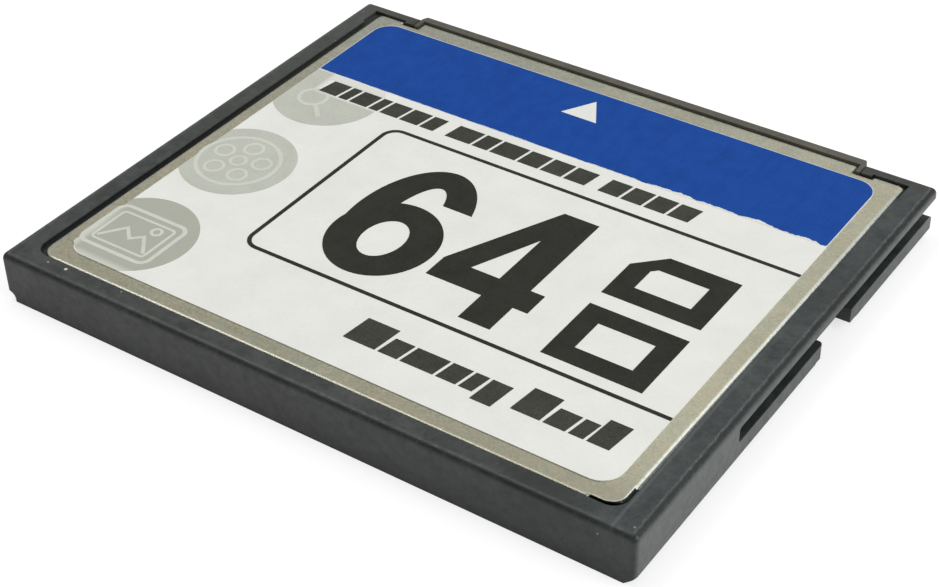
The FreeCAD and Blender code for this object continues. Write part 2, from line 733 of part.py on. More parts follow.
def make_contacts(name, sign):
    """One row of forked contacts: two tapered prongs, a base held in the housing, a tail on the board."""
    body = new_body(name, several_solids=True)
    profile = new_sketch(body, name + "_profile", "YZ_Plane", "At.first_contact - Size.contact_width / 2")
    near_face = "At.board_top - At.middle"
    far_face = "At.board_top - At.middle + 2 * At.cavity_half_height"
    corners = [
        ("At.tail_end", near_face),
        ("At.contact_base_front", near_face),
        ("At.contact_tip", near_face + " + Size.prong_gap"),
        ("At.contact_base_front", near_face + " + Size.contact_thickness"),
        ("At.contact_base_front", far_face + " - Size.contact_thickness"),
        ("At.contact_tip", far_face + " - Size.prong_gap"),
        ("At.contact_base_front", far_face),
        ("At.contact_base_rear", far_face),
        ("At.contact_base_rear", near_face + " + Size.contact_thickness"),
        ("At.tail_end", near_face + " + Size.contact_thickness"),
    ]
    polygon(profile, [(y, "At.middle %s (%s)" % (sign, height)) for y, height in corners])
    contact = pad(body, name + "_one", profile, "Size.contact_width")
    axis = (origin_plane(body, "X_Axis"), [""])
    repeated(body, name + "_row", [contact], axis, "At.row_length", "At.contacts_per_row")
    return body


# Board and what it carries

def make_board():
    body = new_body("circuit_board")
    outline = new_sketch(body, "board_outline", "XY_Plane", "At.board_bottom")
    rectangle(outline, "-At.board_half_width", "At.board_half_width", "At.board_rear", "At.board_front")
    pad(body, "board_panel", outline, "Size.board_thickness")
    notches = new_sketch(body, "board_notches", "XY_Plane", "At.board_top")
    for sign in ("", "-"):
        circle(notches, sign + "Size.rib_spacing / 2", "At.cavity_rear", "Size.rib_radius + Size.rib_gap")
    pocket(body, "board_notch_cut", notches, "Size.board_thickness")
    return body


def above(height, upper):
    """Formula for a height measured off the board's upper or lower face."""
    if upper:
        return "At.board_top + (%s)" % height
    return "At.board_bottom - (%s)" % height


def make_chip(name, upper, across, along, width, length):
    """Moulded package with drafted sides above and below its seam, and a mark by pin one."""
    body = new_body(name)
    seam = new_sketch(body, name + "_seam", "XY_Plane", above("At.chip_seam", upper))
    rectangle(seam, "%s - %s / 2" % (across, width), "%s + %s / 2" % (across, width),
              "%s - %s / 2" % (along, length), "%s + %s / 2" % (along, length))
    for half, downwards in (("over", False), ("under", True)):
        feature = body.newObject("PartDesign::Pad", name + "_" + half)
        feature.Profile = seam
        feature.setExpression("Length", "At.chip_height / 2")
        feature.setExpression("TaperAngle", "-Size.mould_draft")
        feature.Reversed = downwards
        doc.recompute()
    outer = above("At.chip_room", upper)
    mark = new_sketch(body, name + "_mark", "XY_Plane", outer)
    circle(mark, "%s - %s / 2 + 3 * Size.mark_radius" % (across, width),
           "%s + %s / 2 - 3 * Size.mark_radius" % (along, length), "Size.mark_radius")
    pocket(body, name + "_mark_cut", mark, "Size.mark_depth", reverse=not upper)
    return body


def lead_profile(upper):
    """Gull-wing section: distance out from the package's side, and height off the board."""
    reach = "Size.lead_reach"
    knee = "(Size.lead_reach - Size.lead_foot)"
    thick = "Size.lead_thickness"
    points = [
        ("0", "At.chip_seam - %s / 2" % thick),
        ("Size.lead_shoulder", "At.chip_seam - %s / 2" % thick),
        (knee, "0"),
        (reach, "0"),
        (reach, thick),
        ("(%s + %s / 2)" % (knee, thick), thick),
        ("(Size.lead_shoulder + %s / 2)" % thick, "At.chip_seam + %s / 2" % thick),
        ("0", "At.chip_seam + %s / 2" % thick),
    ]
    return [(out, above(height, upper)) for out, height in points]


def make_leads(name, upper, rows):
    """Rows of gull-wing leads. A row is its plane, middle, spread axis, sides, pitch and count."""
    body = new_body(name, several_solids=True)
    for index, (role, centre, run, edge, pitch, count) in enumerate(rows):
        # a sketch on the XZ plane has its normal along minus Y
        back = "-" if role == "XZ_Plane" else ""
        start = "%s - %s * (%s - 1) / 2 - Size.lead_width / 2" % (run, pitch, count)
        sketch = new_sketch(body, "%s_%d" % (name, index), role, "%s(%s)" % (back, start))
        for sign in ("+", "-"):
            outline = [("%s %s (%s / 2 + %s)" % (centre, sign, edge, out), height)
                       for out, height in lead_profile(upper)]
            polygon(sketch, outline)
        lead = pad(body, "%s_pair_%d" % (name, index), sketch, "Size.lead_width",
                   downwards=role == "XZ_Plane")
        axis = "Y_Axis" if role == "XZ_Plane" else "X_Axis"
        repeated(body, "%s_row_%d" % (name, index), [lead], (origin_plane(body, axis), [""]),
                 "%s * (%s - 1)" % (pitch, count), count)
    return body


def flash_rows(across, along):
    return [("YZ_Plane", along, across, "Size.flash_length",
             "Size.flash_lead_pitch", "Size.flash_leads_per_end")]


def controller_rows():
    across = "At.controller_across"
    along = "At.controller_along"
    pitch = "Size.controller_lead_pitch"
    count = "Size.controller_leads_per_side"
    return [
        ("YZ_Plane", along, across, "Size.controller_width", pitch, count),
        ("XZ_Plane", across, along, "Size.controller_width", pitch, count),
    ]


def centred_box(name, across, along, bottom, width, length, height):
    return box(name, "%s - %s / 2" % (across, width), "%s - %s / 2" % (along, length),
               bottom, width, length, height)


def make_crystal():
    base = centred_box("crystal_base", "At.controller_across", "At.crystal_along", "At.board_top",
                       "Size.crystal_length", "Size.crystal_width", "Size.crystal_base_height")
    lid = centred_box("crystal_lid", "At.controller_across", "At.crystal_along",
                      "At.board_top + Size.crystal_base_height",
                      "(Size.crystal_length - 2 * Size.crystal_lid_inset)",
                      "(Size.crystal_width - 2 * Size.crystal_lid_inset)", "Size.crystal_lid_height")
    return [base, lid]


def make_regulator():
    """Five-pin regulator: two pins on one side, three on the other."""
    package = centred_box("regulator", "At.power_across", "At.regulator_along",
                          "At.board_top + Size.chip_standoff", "Size.regulator_length",
                          "Size.regulator_width", "Size.regulator_height")
    pins = []
    for side, step in (("-", -1), ("-", 0), ("-", 1), ("+", -1), ("+", 1)):
        across = "(At.power_across + %d * Size.regulator_pin_pitch)" % step
        along = "(At.regulator_along %s (Size.regulator_width + Size.regulator_pin_reach) / 2)" % side
        pins.append(centred_box("regulator_pin_%d" % len(pins), across, along, "At.board_top",
                                "Size.regulator_pin_width", "Size.regulator_pin_reach",
                                "(Size.chip_standoff + Size.regulator_height / 2)"))
    return [package, group("regulator_pins", pins)]


def make_bulk_capacitor():
    """Moulded tantalum block between two wrapped metal ends."""
    block = centred_box("bulk_capacitor", "At.power_across", "At.bulk_along", "At.board_top",
                        "(Size.bulk_length - 2 * Size.bulk_wrap)", "Size.bulk_width", "Size.bulk_height")
    ends = []
    for sign in ("-", "+"):
        across = "(At.power_across %s (Size.bulk_length - Size.bulk_wrap) / 2)" % sign
        ends.append(centred_box("bulk_end_%d" % len(ends), across, "At.bulk_along", "At.board_top",
                                "Size.bulk_wrap", "Size.bulk_width", "Size.bulk_height"))
    return [block, group("bulk_capacitor_ends", ends)]


def make_small_parts(name, places, height):
    """Chip parts with metal ends, as one group of bodies and one of ends."""
    bodies = []
    ends = []
    for index, (across, along) in enumerate(places):
        bodies.append(centred_box("%s_body_%d" % (name, index), across, along, "At.board_top",
                                  "(Size.small_part_length - 2 * Size.end_cap_length)",
                                  "Size.small_part_width", height))
        for sign in ("-", "+"):
            end = "(%s %s (Size.small_part_length - Size.end_cap_length) / 2)" % (across, sign)
            ends.append(centred_box("%s_end_%d" % (name, len(ends)), end, along, "At.board_top",
                                    "Size.end_cap_length", "Size.small_part_width", height))
    return [group(name + "s", bodies), group(name + "_ends", ends)]


# Label and print

def make_label():
    body = new_body("label")
    outline = new_sketch(body, "label_outline", "XY_Plane", "At.cover_top")
    rectangle(outline, "At.label_left", "At.label_right", "At.label_rear", "At.label_front")
    film = pad(body, "label_film", outline, "Size.label_thickness")
    places = [(x, y) for x in (at.label_left, at.label_right) for y in (at.label_rear, at.label_front)]
    names = edges_where(body.Shape, upright_at(places))
    rounded(body, "label_corners", film, names, "Size.label_corner_radius")
    return body


def across(place):
    """A place in the artwork, counted from its left edge, on the label."""
    return "(At.label_left + At.stretch * (%s))" % place


def along(place):
    """A place in the artwork, counted from its rear edge, on the label."""
    return "(At.label_rear + At.rise * (%s))" % place


def drawn(corners):
    """Corners given in the artwork, on the label."""
    return [(across(x), along(y)) for x, y in corners]


def drawn_rectangle(sketch, left, right, low, high):
    polygon(sketch, drawn([(left, low), (right, low), (right, high), (left, high)]))


def make_band():
    """Coloured band across the front of the label, with a small arrow left open."""
    body = new_body("label_blue_band")
    outline = new_sketch(body, "band_outline", "XY_Plane", "At.label_top")
    drawn_rectangle(outline, "0", "At.artwork_width", "At.band_start", "At.artwork_length")
    tip = "At.artwork_length - Size.arrow_inset"
    polygon(outline, drawn([
        ("Size.arrow_centre - Size.arrow_width / 2", tip + " - Size.arrow_length"),
        ("Size.arrow_centre + Size.arrow_width / 2", tip + " - Size.arrow_length"),
        ("Size.arrow_centre", tip),
    ]))
    field = pad(body, "band_field", outline, "Size.print_thickness")
    places = [(x, at.label_front) for x in (at.label_left, at.label_right)]
    names = edges_where(body.Shape, upright_at(places))
    rounded(body, "band_corners", field, names, "Size.label_corner_radius")
    return body


def drawn_box(name, left, low, bottom, width, length, height):
    """A block that covers a rectangle of the artwork."""
    return box(name, across(left), along(low), bottom, "At.stretch * (%s)" % width,
               "At.rise * (%s)" % length, height)


def make_discs():
    """Three grey discs down the left edge, trimmed by the label, the band and the title bar."""
    discs = []
    for index in range(3):
        disc = doc.addObject("Part::Cylinder", "disc_%d" % index)
        disc.setExpression("Radius", "At.stretch * Size.disc_radius")
        disc.setExpression("Height", "Size.print_thickness")
        disc.setExpression("Placement.Base.x", across("Size.disc_centre"))
        disc.setExpression("Placement.Base.y", along("Size.last_disc + %d * Size.disc_pitch" % index))
        disc.setExpression("Placement.Base.z", "At.label_top")
        discs.append(disc)
    low = "At.label_top - Size.cut_margin"
    deep = "Size.print_thickness + 2 * Size.cut_margin"
    field = drawn_box("disc_field", "0", "0", low, "At.artwork_width",
                      "At.band_start - Size.disc_gap", deep)
    trimmed = doc.addObject("Part::Common", "discs_trimmed")
    trimmed.Base = group("disc_trio", discs)
    trimmed.Tool = field
    title = drawn_box("disc_title_gap", "Size.title_left - Size.disc_gap",
                      "Size.title_bottom - Size.disc_gap", low, "Size.title_first_word + 2 * Size.disc_gap",
                      "Size.title_height + 2 * Size.disc_gap", deep)
    result = cut("label_grey_discs", trimmed, title)
    result.Label = "label_grey_discs"
    return result


def make_word(body, start, length, low, marks):
    """A word of small print as a row of plain slanted blocks: the share, height and drop of each."""
    sketch = new_sketch(body, "word", "XY_Plane", "At.label_top")
    shares = sum(share for share, height, drop in marks)
    taken = 0
    for index, (share, height, drop) in enumerate(marks):
        unit = "(%s - %d * Size.mark_gap) / %d" % (length, len(marks) - 1, shares)
        left = "%s + %d * %s + %d * Size.mark_gap" % (start, taken, unit, index)
        right = "%s + %d * %s" % (left, share, unit)
        polygon(sketch, drawn([
            (left, "%s - %s" % (low, drop)),
            (right, "%s - %s" % (low, drop)),
            (right + " + Size.mark_lean", "%s + %s" % (low, height)),
            (left + " + Size.mark_lean", "%s + %s" % (low, height)),
        ]))
        taken += share
    pad(body, sketch.Name + "_ink", sketch, "Size.black_thickness")


def make_words(body):
    """Three words under the band and two in the rear corner, as rows of plain blocks."""
    tall = "Size.title_height"
    start = "Size.title_left"
    for length, shares in (("Size.title_first_word", (4, 2, 4, 2, 4, 4, 3)),
                           ("Size.title_second_word", (5, 3, 5, 4, 4, 4)),
                           ("Size.title_third_word", (4, 4, 4, 4))):
        make_word(body, start, length, "Size.title_bottom", [(share, tall, "0") for share in shares])
        start = "%s + %s + Size.word_gap" % (start, length)
    tall = "Size.foot_words_height"
    low = "Size.foot_words_low_height"
    words = (
        ("Size.foot_second_word", ((4, tall, "0"), (3, low, "0"), (2, low, "0"), (3, tall, "0"))),
        ("Size.foot_first_word", ((5, tall, "0"), (3, low, "0"), (5, low, "0"), (3, low, "0"),
                                  (2, low, "0"), (3, low, "Size.foot_words_drop"))),
    )
    end = "At.artwork_width - Size.foot_words_right"
    for length, marks in words:
        make_word(body, "%s - %s" % (end, length), length, "Size.foot_words_bottom", marks)
        end = "%s - %s - Size.word_gap" % (end, length)


def make_black_print():
    """Box line open to the right, and two lines of small print as plain blocks."""
    body = new_body("label_black_print", several_solids=True)
    lines = new_sketch(body, "print_lines", "XY_Plane", "At.label_top")
    top = "Size.box_bottom + Size.box_length"
    right = "At.artwork_width"
    line = "Size.line_width"
    polygon(lines, drawn([
        (right, top),
        ("Size.box_left", top),
        ("Size.box_left", "Size.box_bottom"),
        (right, "Size.box_bottom"),
        (right, "Size.box_bottom + " + line),
        ("Size.box_left + " + line, "Size.box_bottom + " + line),
        ("Size.box_left + " + line, "%s - %s" % (top, line)),
        (right, "%s - %s" % (top, line)),
    ]))
    ink = pad(body, "print_ink", lines, "Size.black_thickness")

    left = at.label_left + at.stretch * size.box_left
    low = at.label_rear + at.rise * size.box_bottom
    high = at.label_rear + at.rise * (size.box_bottom + size.box_length)
    names = edges_where(body.Shape, upright_at([(left, low), (left, high)]))
    corners = rounded(body, "box_outer_corners", ink, names, "Size.line_corner_radius")
    left += at.stretch * size.line_width
    low += at.rise * size.line_width
    high -= at.rise * size.line_width
    names = edges_where(body.Shape, upright_at([(left, low), (left, high)]))
    rounded(body, "box_inner_corners", corners, names, "Size.line_corner_radius - Size.line_width")
    make_words(body)
    return body


def ellipse_prism(name, centre, middle, half_width, half_height):
    """An ellipse as a thin solid on the label, turned so that its longer axis is the major one."""
    tall = "At.rise * (%s)" % half_height
    wide = "At.stretch * (%s)" % half_width
    curve = doc.addObject("Part::Ellipse", name + "_curve")
    curve.setExpression("MajorRadius", "max(%s; %s)" % (tall, wide))
    curve.setExpression("MinorRadius", "min(%s; %s)" % (tall, wide))
    curve.Placement.Rotation = FreeCAD.Rotation(FreeCAD.Vector(0, 0, 1), 90)
    curve.setExpression("Placement.Rotation.Angle", "%s > %s ? 90 : 0" % (tall, wide))
    curve.setExpression("Placement.Base.x", across(centre))
    curve.setExpression("Placement.Base.y", along(middle))
    curve.setExpression("Placement.Base.z", "At.label_top")
    prism = doc.addObject("Part::Extrusion", name)
    prism.Base = curve
    prism.DirMode = "Custom"
    prism.Dir = FreeCAD.Vector(0, 0, 1)
    prism.setExpression("LengthFwd", "Size.black_thickness")
    prism.Solid = True
    return prism


def cut(name, base, tool):
    feature = doc.addObject("Part::Cut", name)
    feature.Base = base
    feature.Tool = tool
    return feature


def make_six():
    """A bowl, and above it the left side and the top of a taller ring."""
    half = "Size.numeral_width / 2"
    centre = "Size.numeral_left + " + half
    ovals = {}
    for name, half_height in (("bowl", "Size.six_bowl_height / 2"), ("stem", "Size.numeral_height / 2")):
        middle = "Size.numeral_bottom + " + half_height
        outer = ellipse_prism("six_%s_outer" % name, centre, middle, half, half_height)
        inner = ellipse_prism("six_%s_inner" % name, centre, middle, half + " - Size.numeral_stroke",
                              half_height + " - Size.thin_stroke")
        ovals[name] = (outer, inner)
    low = "Size.numeral_bottom + Size.six_bowl_height / 2"
    side = drawn_box("six_side", "Size.numeral_left", low, "At.label_top", half,
                     "Size.numeral_height - Size.six_bowl_height / 2", "Size.black_thickness")
    hook = drawn_box("six_hook_field", centre,
                     "Size.numeral_bottom + Size.numeral_height - Size.six_hook_height", "At.label_top",
                     half, "Size.six_hook_height", "Size.black_thickness")
    keep = doc.addObject("Part::MultiFuse", "six_keep")
    keep.Shapes = [side, hook]
    stem = doc.addObject("Part::Common", "six_stem")
    stem.Base = cut("six_stem_ring", *ovals["stem"])
    stem.Tool = keep
    figure = doc.addObject("Part::MultiFuse", "six_figure")
    figure.Shapes = [ovals["bowl"][0], stem]
    return cut("six", figure, ovals["bowl"][1])


def make_four():
    """A stem, a bar and a slope, with an open counter between them."""
    body = new_body("four")
    figure = new_sketch(body, "four_outline", "XY_Plane", "At.label_top")
    left = "Size.numeral_left + Size.numeral_width + Size.numeral_gap"
    right = "At.numerals_right"
    bottom = "Size.numeral_bottom"
    top = "Size.numeral_bottom + Size.numeral_height"
    stem_right = "At.numerals_right - Size.four_stem_inset"
    stem_left = "At.numerals_right - Size.four_stem_inset - Size.numeral_stroke"
    bar_low = "Size.numeral_bottom + Size.four_bar_bottom"
    bar_high = "Size.numeral_bottom + Size.four_bar_bottom + Size.thin_stroke"
    polygon(figure, drawn([
        (stem_left, bottom),
        (stem_right, bottom),
        (stem_right, bar_low),
        (right, bar_low),
        (right, bar_high),
        (stem_right, bar_high),
        (stem_right, top),
        (stem_left + " - Size.four_shoulder", top),
        (left, bar_high),
        (left, bar_low),
        (stem_left, bar_low),
    ]))
    polygon(figure, drawn([
        (stem_left, bar_high),
        (stem_left, "Size.numeral_bottom + Size.four_counter_height"),
        (left + " + Size.thin_stroke", bar_high),
    ]))
    pad(body, "four_ink", figure, "Size.black_thickness")
    return body


def make_sign():
    """Two bold outline signs beside the numerals: a plain card and a plain block."""
    body = new_body("label_sign", several_solids=True)
    sketch = new_sketch(body, "sign_outline", "XY_Plane", "At.label_top")
    left = "At.numerals_right + Size.sign_left_gap"
    right = "At.sign_right"
    stroke = "Size.sign_stroke"
    low = "Size.sign_bottom"
    high = low + " + Size.sign_lower_length"
    drawn_rectangle(sketch, left, right, low, high)
    drawn_rectangle(sketch, "%s + %s" % (left, stroke), "%s - %s" % (right, stroke),
                    "%s + %s" % (low, stroke), "%s - %s" % (high, stroke))
    low = high + " + Size.sign_gap"
    high = low + " + Size.sign_upper_length"
    corner = "Size.sign_corner"
    polygon(sketch, drawn([
        (left, low),
        (right, low),
        (right, high),
        ("%s + %s" % (left, corner), high),
        (left, "%s - %s" % (high, corner)),
    ]))
    polygon(sketch, drawn([
        ("%s + %s" % (left, stroke), "%s + %s" % (low, stroke)),
        ("%s - %s" % (right, stroke), "%s + %s" % (low, stroke)),
        ("%s - %s" % (right, stroke), "%s - %s" % (high, stroke)),
        ("%s + %s" % (left, corner), "%s - %s" % (high, stroke)),
        ("%s + %s" % (left, stroke), "%s - %s" % (high, corner)),
    ]))
    pad(body, "sign_ink", sketch, "Size.black_thickness")
    return body


# Building and writing

nodes = [
    make_frame(),
    make_cover("top_cover", "At.cover_top", "At.top_ledge", True),
    make_cover("bottom_cover", "Size.cover_recess", "At.bottom_ledge", False),
    make_housing(),
    make_contacts("upper_contacts", "+"),
    make_contacts("lower_contacts", "-"),
    make_board(),
    make_chip("flash_chip_upper", True, "At.flash_across", "At.upper_flash_along",
              "Size.flash_width", "Size.flash_length"),
    make_leads("flash_leads_upper", True, flash_rows("At.flash_across", "At.upper_flash_along")),
    make_chip("flash_chip_lower", False, "0", "At.lower_flash_along",
              "Size.flash_width", "Size.flash_length"),
    make_leads("flash_leads_lower", False, flash_rows("0", "At.lower_flash_along")),
    make_chip("controller_chip", True, "At.controller_across", "At.controller_along",
              "Size.controller_width", "Size.controller_width"),
    make_leads("controller_leads", True, controller_rows()),
    make_label(),
    make_band(),
    make_discs(),
    make_black_print(),
    group("label_numerals", [make_six(), make_four()]),
    make_sign(),
]
nodes += make_crystal()
nodes += make_regulator()
nodes += make_bulk_capacitor()
capacitor_row = [("At.power_across", "At." + name) for name in capacitor_names]
resistor_rows = []
for along in ("At.rear_resistors_along", "At.front_resistors_along"):
    for step in ("- 1.5", "- 0.5", "+ 0.5", "+ 1.5"):
        pitch = "(Size.small_part_length + Size.resistor_gap)"
        resistor_rows.append(("(At.controller_across %s * %s)" % (step, pitch), along))
nodes += make_small_parts("capacitor", capacitor_row, "Size.capacitor_height")
nodes += make_small_parts("resistor", resistor_rows, "Size.resistor_height")
doc.recompute()

for item in doc.Objects:
    if "Invalid" in item.State or "Error" in item.State:
        raise RuntimeError("%s is %s" % (item.Name, item.State))
for node in nodes:
    if node.Shape.isNull() or not node.Shape.isValid():
        raise RuntimeError(node.Label + " has no valid shape")

os.makedirs("parts", exist_ok=True)
for node in nodes:
    node.Shape.exportStep(os.path.join("parts", node.Label + ".step"))
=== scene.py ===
"""Looks of the compact flash card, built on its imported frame.

Blender's lengths are metres. Numbers in this file are millimetres unless a name or comment says otherwise.
The card lies with its label up, its socket towards +Y and the camera over its rear right corner.
"""

import math

import bmesh
import bpy
from mathutils import Matrix, Vector


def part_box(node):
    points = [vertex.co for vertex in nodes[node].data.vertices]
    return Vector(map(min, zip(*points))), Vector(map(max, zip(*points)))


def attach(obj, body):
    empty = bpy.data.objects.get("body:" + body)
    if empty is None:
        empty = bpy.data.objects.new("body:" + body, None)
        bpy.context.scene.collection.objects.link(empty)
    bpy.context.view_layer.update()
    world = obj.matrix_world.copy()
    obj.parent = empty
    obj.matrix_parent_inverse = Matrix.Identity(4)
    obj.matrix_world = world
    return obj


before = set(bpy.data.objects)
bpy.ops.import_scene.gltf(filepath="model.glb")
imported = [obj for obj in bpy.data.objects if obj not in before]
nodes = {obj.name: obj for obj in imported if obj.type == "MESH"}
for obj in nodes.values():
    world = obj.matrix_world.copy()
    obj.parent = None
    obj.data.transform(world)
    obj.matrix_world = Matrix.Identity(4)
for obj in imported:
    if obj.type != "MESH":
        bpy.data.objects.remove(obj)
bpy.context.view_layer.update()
MM = 0.001

# Camera: the photograph's view, with its focal length in pixels of a picture 939 wide
VIEW_AZIMUTH = 34.810
VIEW_ELEVATION = 37.288
VIEW_ROLL = -0.960
FOCAL_PIXELS = 1910.8
PICTURE_WIDTH = 939
SENSOR_WIDTH = 36.0
CAMERA_PLACE = (52.461, -76.634, 68.392)
NEAREST, FARTHEST = 2, 20000

# Outside of the frame, for the painted light along its edges
HALF_WIDTH = 21.4
FRAME_FRONT = 17.82
FRAME_REAR = -18.2
FRAME_TOP = 3.3

LABEL_CORNER = 1.35

# Marks on the frame's rim: x, y, radius and strength
STAINS = ((15.5, -17.4, 3.2, 0.7), (20.6, 5.0, 3.4, 0.35))
# the last of the dust grains, at the near right corner, is a painted glint
DUST_GRAINS_AND_GLINT = ((-17.05, -17.25, 0.13, 0.95), (-18.4, -17.3, 0.08, 0.5),
               (-12.9, -17.1, 0.07, 0.4), (20.85, -17.5, 0.08, 0.3))

# Discs of the label: place of the rearmost, and the step from one to the next
DISC_X, LAST_DISC_Y, DISC_PITCH = -16.03, -12.31, 9.28
PICTOGRAM_HEIGHT = 0.006

# Area lamps that face the card: azimuth and elevation as the camera's, width of the square, power in watts
LAMP_DISTANCE = 700
LAMPS = {
    "key": (188, 50, 250, 0.27),
    "overhead": (-84, 63, 350, 1.22),
    "side": (96, 34, 500, 2.6),
}

FLOOR_HALF = 4000
FLOOR_DROP = 0.01


def view_axes(azimuth, elevation, roll=0.0):
    """Right, up and forward of a camera that looks down at an elevation from an azimuth."""
    a, e, r = (math.radians(x) for x in (azimuth, elevation, roll))
    forward = Vector((-math.sin(a) * math.cos(e), math.cos(a) * math.cos(e), -math.sin(e)))
    right = forward.cross(Vector((0, 0, 1))).normalized()
    up = right.cross(forward)
    return (math.cos(r) * right + math.sin(r) * up, math.cos(r) * up - math.sin(r) * right, forward)


def placed(obj, origin, right, up, forward):
    """Puts a camera or lamp at a point, looking along forward."""
    turn = Matrix((right, up, -forward)).transposed().to_4x4()
    obj.matrix_world = Matrix.Translation(origin) @ turn


def added(name, data):
    """A new object in the scene."""
    obj = bpy.data.objects.new(name, data)
    bpy.context.scene.collection.objects.link(obj)
    return obj


def add_camera():
    data = bpy.data.cameras.new("view")
    data.sensor_fit = "HORIZONTAL"
    data.sensor_width = SENSOR_WIDTH
    data.lens = FOCAL_PIXELS / PICTURE_WIDTH * SENSOR_WIDTH
    data.clip_start = NEAREST * MM
    data.clip_end = FARTHEST * MM
    camera = added("view", data)
    placed(camera, Vector(CAMERA_PLACE) * MM, *view_axes(VIEW_AZIMUTH, VIEW_ELEVATION, VIEW_ROLL))
    bpy.context.scene.camera = camera


def in_mm(corners):
    return [Vector(corner) / MM for corner in corners]


# Materials


class Nodes:
    """A material's nodes, added one after another. x, y and z are places on the object, in metres."""

    def __init__(self, name):
        self.material = bpy.data.materials.new(name)
        self.material.use_nodes = True
        self.tree = self.material.node_tree
        self.tree.nodes.clear()
        self.shader = self.add("ShaderNodeBsdfPrincipled")
        output = self.add("ShaderNodeOutputMaterial")
        self.link(self.shader.outputs["BSDF"], output.inputs["Surface"])
        self.place = self.add("ShaderNodeTexCoord").outputs["Object"]
        self.x, self.y, self.z = self.parts(self.place)

    def add(self, kind, **settings):
        node = self.tree.nodes.new(kind)
        for key, value in settings.items():
            setattr(node, key, value)
        return node

    def link(self, source, target):
        self.tree.links.new(source, target)

    def set(self, target, value):
        if isinstance(value, bpy.types.NodeSocket):
            self.link(value, target)
        else:
            target.default_value = value

    def parts(self, vector):
        node = self.add("ShaderNodeSeparateXYZ")
        self.link(vector, node.inputs["Vector"])
        return node.outputs["X"], node.outputs["Y"], node.outputs["Z"]

    # arithmetic

    def math(self, operation, a, b=0.0, c=0.0):
        node = self.add("ShaderNodeMath", operation=operation)
        for k, value in enumerate((a, b, c)):
            self.set(node.inputs[k], value)
        return node.outputs["Value"]

    def plus(self, a, b):
        return self.math("ADD", a, b)

    def minus(self, a, b):
        return self.math("SUBTRACT", a, b)

    def times(self, product, *factors):
        for factor in factors:
            product = self.math("MULTIPLY", product, factor)
        return product

    def most(self, first, *others):
        for other in others:
            first = self.math("MAXIMUM", first, other)
        return first

    def amount(self, a):
        return self.math("ABSOLUTE", a)

    def span(self, value, low, high, first=0.0, last=1.0, smooth=False):
        """Value carried from the range low..high to first..last, and held there."""
        node = self.add("ShaderNodeMapRange", clamp=True)
        if smooth:
            node.interpolation_type = "SMOOTHSTEP"
        self.set(node.inputs["Value"], value)
        for key, number in (("From Min", low), ("From Max", high), ("To Min", first), ("To Max", last)):
            self.set(node.inputs[key], number)
        return node.outputs["Result"]

    def along(self, value, low, high, first=0.0, last=1.0, smooth=False):
        """span() of a place or distance, with low and high in millimetres."""
        return self.span(value, low * MM, high * MM, first, last, smooth)

    def away(self, x, y, z):
        """Distance to a point."""
        node = self.add("ShaderNodeVectorMath", operation="DISTANCE")
        self.link(self.place, node.inputs[0])
        node.inputs[1].default_value = (x * MM, y * MM, z * MM)
        return node.outputs["Value"]

    def beyond_corner(self, past_x, past_y, radius):
        """Distance out from a rounded corner, from how far a place lies past its arc's centre each way."""
        past_x, past_y = self.most(past_x, 0.0), self.most(past_y, 0.0)
        squares = self.plus(self.times(past_x, past_x), self.times(past_y, past_y))
        return self.minus(self.math("SQRT", squares), radius * MM)

    # textures

    def noise(self, size, detail=3.0, roughness=0.6, stretch=None):
        """Noise whose features are about this size."""
        node = self.add("ShaderNodeTexNoise", noise_dimensions="3D")
        place = self.place
        if stretch is not None:
            mapping = self.add("ShaderNodeMapping")
            self.link(place, mapping.inputs["Vector"])
            mapping.inputs["Scale"].default_value = stretch
            place = mapping.outputs["Vector"]
        self.link(place, node.inputs["Vector"])
        node.inputs["Scale"].default_value = 1 / (size * MM)
        node.inputs["Detail"].default_value = detail
        node.inputs["Roughness"].default_value = roughness
        return node.outputs["Fac"]

    def spread(self, noise, first=0.0, last=1.0):
        """A noise's usual values carried to first..last."""
        return self.span(noise, 0.3, 0.7, first, last)

    def blend(self, one, other, share, low, high, first=0.0, last=1.0):
        """Two noises added, the first with this share, and their range low..high carried to first..last."""
        both = self.plus(self.times(one, share), self.times(other, 1 - share))
        return self.span(both, low, high, first, last)

    def cells(self, size):
        """Distance to scattered points this far apart, in their pitch, and a random value for each."""
        node = self.add("ShaderNodeTexVoronoi", feature="F1")
        self.link(self.place, node.inputs["Vector"])
        node.inputs["Scale"].default_value = 1 / (size * MM)
        shade = self.add("ShaderNodeSeparateColor")
        self.link(node.outputs["Color"], shade.inputs["Color"])
        return node.outputs["Distance"], shade.outputs["Red"]

    def mix(self, factor, first, last):
        """Colour between two others."""
        node = self.add("ShaderNodeMix", data_type="RGBA")
        self.set(node.inputs["Factor"], factor)
        for key, value in (("A", first), ("B", last)):
            socket = [s for s in node.inputs if s.name == key and s.type == "RGBA"][0]
            self.set(socket, value if isinstance(value, bpy.types.NodeSocket) else (*value, 1))
        return [s for s in node.outputs if s.type == "RGBA"][0]

    # surface

    def soft_edge(self, radius):
        """Normal that turns round the mesh's edges instead of breaking at them."""
        node = self.add("ShaderNodeBevel", samples=8)
        node.inputs["Radius"].default_value = radius * MM
        return node.outputs["Normal"]

    def turned(self, factor, normal, other):
        """Normal turned by a factor towards a fixed one."""
        node = self.add("ShaderNodeMix", data_type="VECTOR")
        self.link(factor, node.inputs["Factor"])
        first, last = [s for s in node.inputs if s.type == "VECTOR" and s.name in "AB"]
        self.link(normal, first)
        last.default_value = other
        unit = self.add("ShaderNodeVectorMath", operation="NORMALIZE")
        self.link([s for s in node.outputs if s.type == "VECTOR"][0], unit.inputs[0])
        return unit.outputs["Vector"]

    def crevice(self, reach):
        """1 on open surfaces, falling to 0 in gaps that are narrower than the reach."""
        node = self.add("ShaderNodeAmbientOcclusion", samples=8)
        node.inputs["Distance"].default_value = reach * MM
        return node.outputs["AO"]

